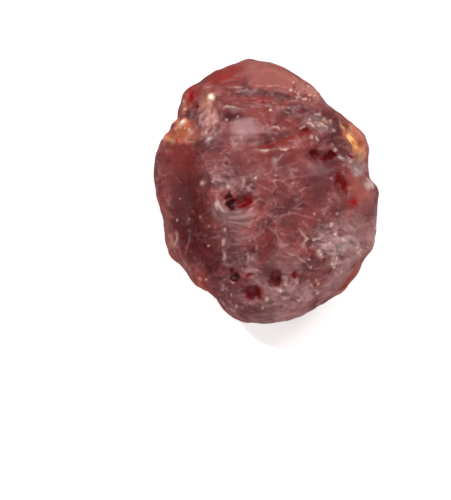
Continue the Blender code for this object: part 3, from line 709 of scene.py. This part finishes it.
def make_stone():
    mesh = fine_solid()
    places, normals = read_mesh(mesh)
    swell(places)
    draw = np.random.RandomState(SEED)
    front = front_share(places, normals)

    calm = front * spread(CALM, places, *CALM_EDGE)
    places = iron(mesh, places, normals, calm, IRON_ROUNDS)
    write_places(mesh, places)
    places, normals = read_mesh(mesh)
    crooked = warped(places, *CROOKED)
    ragged = warped(places, *RAGGED)
    bent = warped(places, *BENT)
    size, low, high = BREAKS
    whole = smooth_step(low, high, noise_at(places, size, BREAK_OFFSET))
    broken = LEAST_CREST + (1 - LEAST_CREST) * whole
    pits, pits_inside, pits_shade = pit_relief(ragged)
    wrinkles, wrinkles_pale, cream_highlight = wrinkle_relief(bent, broken)
    grains, grains_pale, sparks = grain_relief(bent, draw)
    # The sparks, painted glints, join the cream-coloured painted highlights
    cream_highlight = np.maximum(cream_highlight, sparks)
    strewn, strewn_pale = strewn_relief(places, draw)
    relief = front * (pits + wrinkles + grains * (1 - CALM_GRAINS * calm)) + strewn * (1 - calm)
    for size, height in LUMPS:
        relief += height * noise_at(crooked, size, (size * LUMP_OFFSET, 0, 0)) * (1 - CALM_LUMPS * calm)
    places = places + normals * relief[:, None]
    places[:, 2] = np.maximum(places[:, 2], 0.0)
    places[:, 2] -= PRESS_SHARE * np.maximum(places[:, 2] - PRESS_HEIGHT, 0.0)
    write_places(mesh, places)

    places, normals = read_mesh(mesh)
    paint = mesh.attributes.new("paint", "FLOAT_COLOR", "POINT")
    zone_places = warped(warped(places, *ZONES_COARSE), *ZONES_FINE)
    paint.data.foreach_set("color", painted(zone_places, front).astype(np.float32).ravel())
    put_attribute(mesh, "pit", front * pits_inside)
    # How far each pit is painted towards nearly black: painted shade in the pit
    put_attribute(mesh, "pit_shade", pits_shade)
    put_attribute(mesh, "haze", front * spread(HAZE, zone_places, *HAZE_EDGE))
    put_attribute(mesh, "calm", calm)
    # Cream-coloured places: painted highlights and glints
    put_attribute(mesh, "cream_highlight", front * cream_highlight)
    # Pale crests are partly frosted skin and partly painted highlight; below 0, in small pits, it is painted
    # shade
    placed_pale = stronger(wrinkles_pale, grains_pale)
    put_attribute(mesh, "pale", stronger(front * placed_pale, strewn_pale * (1 - calm)))
    # Hollows are painted darker maroon in the material: painted shade
    put_attribute(mesh, "hollow_shade", hollowness(mesh, places, normals, HOLLOW_ROUNDS) * (1 - calm))

    mesh.materials.clear()
    mesh.materials.append(spinel_material())
    mesh.shade_smooth()
    stone = bpy.data.objects.new("spinel", mesh)
    bpy.context.scene.collection.objects.link(stone)
    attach(stone, "root")
    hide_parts(NODE)


# ---------------------------------------------------------------------------------------------------------
# Materials


class Tree:
    """Short ways of adding nodes to a material."""

    def __init__(self, material):
        self.nodes = material.node_tree.nodes
        self.links = material.node_tree.links

    def add(self, kind, **values):
        node = self.nodes.new(kind)
        for name, value in values.items():
            setattr(node, name, value)
        return node

    def feed(self, socket, value):
        if isinstance(value, bpy.types.NodeSocket):
            self.links.new(value, socket)
        elif isinstance(value, tuple) and len(value) == 3 and socket.type == "RGBA":
            socket.default_value = (*value, 1.0)
        else:
            socket.default_value = value

    def attribute(self, name):
        return self.add("ShaderNodeAttribute", attribute_name=name).outputs["Fac"]

    def math(self, operation, a, b=0.0):
        node = self.add("ShaderNodeMath", operation=operation)
        self.feed(node.inputs[0], a)
        self.feed(node.inputs[1], b)
        return node.outputs[0]

    def mix(self, share, a, b):
        node = self.add("ShaderNodeMix", data_type="RGBA")
        self.feed(node.inputs["Factor"], share)
        self.feed(node.inputs["A"], a)
        self.feed(node.inputs["B"], b)
        return node.outputs["Result"]

    def shade(self, colour, value, share=1.0):
        """The colour made lighter or darker by a value."""
        node = self.add("ShaderNodeMix", data_type="RGBA", blend_type="MULTIPLY")
        self.feed(node.inputs["Factor"], share)
        self.feed(node.inputs["A"], colour)
        self.feed(node.inputs["B"], value)
        return node.outputs["Result"]

    def span(self, value, low, high, to_low=0.0, to_high=1.0):
        """A value mapped smoothly from one range to another."""
        node = self.add("ShaderNodeMapRange", interpolation_type="SMOOTHSTEP")
        for socket, number in zip(node.inputs, (value, low, high, to_low, to_high)):
            self.feed(socket, number)
        return node.outputs["Result"]

    def noise(self, place, size, detail=3.0, roughness=0.55, distortion=0.0):
        node = self.add("ShaderNodeTexNoise", normalize=True)
        self.feed(node.inputs["Vector"], place)
        node.inputs["Scale"].default_value = 1.0 / (size * MM)
        node.inputs["Detail"].default_value = detail
        node.inputs["Roughness"].default_value = roughness
        node.inputs["Distortion"].default_value = distortion
        return node.outputs["Fac"]

    def thread(self, value, width):
        """Thin lines where a noise passes through its mean."""
        return self.span(self.math("ABSOLUTE", self.math("SUBTRACT", value, 0.5)), width, 0.0)

    def stretch(self, place, turn, scale):
        node = self.add("ShaderNodeMapping")
        self.feed(node.inputs["Vector"], place)
        node.inputs["Rotation"].default_value = (0, 0, math.radians(turn))
        node.inputs["Scale"].default_value = scale
        return node.outputs["Vector"]


def spinel_material():
    material = bpy.data.materials.new("spinel_crystal")
    material.use_nodes = True
    tree = Tree(material)
    shader = tree.nodes["Principled BSDF"]
    place = tree.add("ShaderNodeTexCoord").outputs["Object"]

    cloud = tree.noise(place, size=1.7, detail=4, roughness=0.55, distortion=0.8)
    patch = tree.noise(place, size=0.80, detail=4, roughness=0.55, distortion=1.0)
    vein_place = tree.stretch(place, turn=35, scale=(1.0, 2.0, 1.5))
    veins = tree.noise(vein_place, size=0.85, detail=7, roughness=0.66, distortion=1.2)
    mottle_place = tree.stretch(place, turn=60, scale=(1.0, 1.6, 1.0))
    mottle = tree.noise(mottle_place, size=0.30, detail=4, roughness=0.60, distortion=0.8)
    strand_place = tree.stretch(place, turn=120, scale=(1.0, 1.4, 1.0))
    strands = tree.noise(strand_place, size=1.30, detail=3, roughness=0.50, distortion=0.9)
    fine = tree.noise(place, size=0.15, detail=2, roughness=0.6)
    hollow_shade = tree.attribute("hollow_shade")
    pale = tree.attribute("pale")
    calm = tree.attribute("calm")
    busy = tree.math("SUBTRACT", 1.0, tree.math("MULTIPLY", calm, CALM_LOOKS))

    colour = tree.mix(tree.span(cloud, 0.36, 0.62), PLUM, ROSE)
    blood_share = tree.math("MULTIPLY", tree.span(patch, 0.50, 0.68, 0.0, 0.28), busy)
    colour = tree.mix(blood_share, colour, BLOOD)
    maroon_share = tree.math("MULTIPLY", tree.span(patch, 0.47, 0.32, 0.0, 0.42), busy)
    colour = tree.mix(maroon_share, colour, MAROON_AND_SHADE)
    thin_haze = tree.math("MULTIPLY", tree.span(veins, 0.50, 0.68, 0.0, 0.35), busy)
    colour = tree.mix(thin_haze, colour, LAVENDER)
    thread = tree.thread(strands, THREAD_WIDTH)
    thread = tree.math("MULTIPLY", thread, tree.span(mottle, 0.38, 0.56))
    paint = tree.add("ShaderNodeAttribute", attribute_name="paint")
    colour = tree.mix(paint.outputs["Alpha"], colour, paint.outputs["Color"])
    haze = tree.math("MULTIPLY", tree.attribute("haze"), tree.span(veins, 0.38, 0.62, 0.10, 1.0))
    colour = tree.mix(haze, colour, LAVENDER)
    bare = tree.math("SUBTRACT", 1.0, tree.math("MULTIPLY", paint.outputs["Alpha"], PAINT_OVER_THREADS))
    thread_share = tree.math("MULTIPLY", thread, tree.math("MULTIPLY", bare, THREAD_SHARE))
    # Pale threads: painted highlights along thin crests, which the bump raises too
    colour = tree.mix(thread_share, colour, PALE_FROST_AND_HIGHLIGHT)
    colour = tree.shade(colour, tree.span(veins, 0.36, 0.66, 0.80, 1.16), busy)
    colour = tree.shade(colour, tree.span(mottle, 0.34, 0.66, 0.84, 1.12), busy)
    # Painted shade: hollows are painted darker maroon
    colour = tree.mix(tree.span(hollow_shade, 0.006, 0.040, 0.0, 0.60), colour, MAROON_AND_SHADE)
    # Painted shade in the small pits, then pale crests: partly frosted skin and partly painted highlight
    colour = tree.mix(tree.span(pale, -0.15, -0.80, 0.0, 0.45), colour, MAROON_AND_SHADE)
    colour = tree.mix(tree.span(pale, 0.15, 0.95, 0.0, 0.50), colour, PALE_FROST_AND_HIGHLIGHT)
    # Painted highlights: cream, turning white in the middle of the strongest beads and sparks
    cream_highlight = tree.attribute("cream_highlight")
    colour = tree.mix(cream_highlight, colour, CREAM_HIGHLIGHT)
    colour = tree.mix(tree.span(cream_highlight, 0.50, 0.80), colour, WHITE_HIGHLIGHT)
    # Pits are painted from crimson towards nearly black: painted shade in the pit
    pit = tree.mix(tree.attribute("pit_shade"), CRIMSON, BLACK_RED_SHADE)
    colour = tree.mix(tree.attribute("pit"), colour, pit)
    tree.feed(shader.inputs["Base Color"], colour)

    rough = tree.span(veins, 0.35, 0.70, *ROUGH)
    rough = tree.math("SUBTRACT", rough, tree.math("MULTIPLY", cream_highlight, CREAM_POLISH))
    tree.feed(shader.inputs["Roughness"], rough)

    shader.inputs["IOR"].default_value = IOR
    shader.inputs["Specular IOR Level"].default_value = SPECULAR
    shader.inputs["Transmission Weight"].default_value = TRANSMISSION
    shader.inputs["Subsurface Weight"].default_value = 1.0
    shader.inputs["Subsurface Radius"].default_value = SCATTER_RADIUS
    shader.inputs["Subsurface Scale"].default_value = SCATTER_SCALE * MM

    bump = tree.add("ShaderNodeBump")
    bump.inputs["Distance"].default_value = BUMP_DEPTH * MM
    bump.inputs["Strength"].default_value = BUMP_STRENGTH
    height = tree.math("ADD", tree.math("MULTIPLY", fine, busy), thread)
    tree.feed(bump.inputs["Height"], height)
    tree.feed(shader.inputs["Normal"], bump.outputs["Normal"])
    return material


def floor_material():
    material = bpy.data.materials.new("floor")
    material.use_nodes = True
    shader = material.node_tree.nodes["Principled BSDF"]
    shader.inputs["Base Color"].default_value = (FLOOR_GREY, FLOOR_GREY, FLOOR_GREY, 1)
    shader.inputs["Roughness"].default_value = 0.9
    shader.inputs["Specular IOR Level"].default_value = 0.1
    shader.inputs["Emission Color"].default_value = (1, 1, 1, 1)
    shader.inputs["Emission Strength"].default_value = FLOOR_GLOW
    return material


# ---------------------------------------------------------------------------------------------------------
# Stage


def make_floor():
    bpy.ops.mesh.primitive_plane_add(size=FLOOR_SIZE * MM)
    floor = bpy.context.object
    floor.name = "floor"
    floor.data.materials.append(floor_material())
    floor.visible_glossy = False  # the real stone is held in the air, so no floor shows in its gloss


def make_camera():
    across = (FRAME_MIDDLE[0] - STONE_IN_VIEW[0]) / VIEW_SCALE
    along = (STONE_IN_VIEW[1] - FRAME_MIDDLE[1]) / VIEW_SCALE
    distance = FRAME_HEIGHT / VIEW_SCALE * LENS / SENSOR
    camera = bpy.data.objects.new("camera", bpy.data.cameras.new("camera"))
    camera.data.lens = LENS
    camera.data.sensor_width = SENSOR
    camera.data.clip_start = CLIP[0] * MM
    camera.data.clip_end = CLIP[1] * MM
    camera.location = Vector((across, along, GIRDLE + distance)) * MM
    bpy.context.scene.collection.objects.link(camera)
    bpy.context.scene.camera = camera


def make_light(name, place, size, power, in_gloss):
    light = bpy.data.lights.new(name, "AREA")
    light.energy = power
    light.size = size * MM
    light.color = WARM
    lamp = bpy.data.objects.new(name, light)
    lamp.visible_glossy = in_gloss
    lamp.location = Vector(place) * MM
    toward = Vector((0, 0, GIRDLE)) - Vector(place)
    lamp.rotation_mode = "QUATERNION"
    lamp.rotation_quaternion = toward.to_track_quat("-Z", "Y")
    bpy.context.scene.collection.objects.link(lamp)


def make_world():
    world = bpy.data.worlds.new("studio")
    world.use_nodes = True
    background = world.node_tree.nodes["Background"]
    background.inputs["Color"].default_value = (1.0, 1.0, 1.0, 1)
    background.inputs["Strength"].default_value = WORLD_STRENGTH
    bpy.context.scene.world = world


make_camera()
make_floor()
for lamp in LAMPS:
    make_light(*lamp)
make_world()
make_stone()
bpy.context.scene.view_settings.view_transform = "Standard"
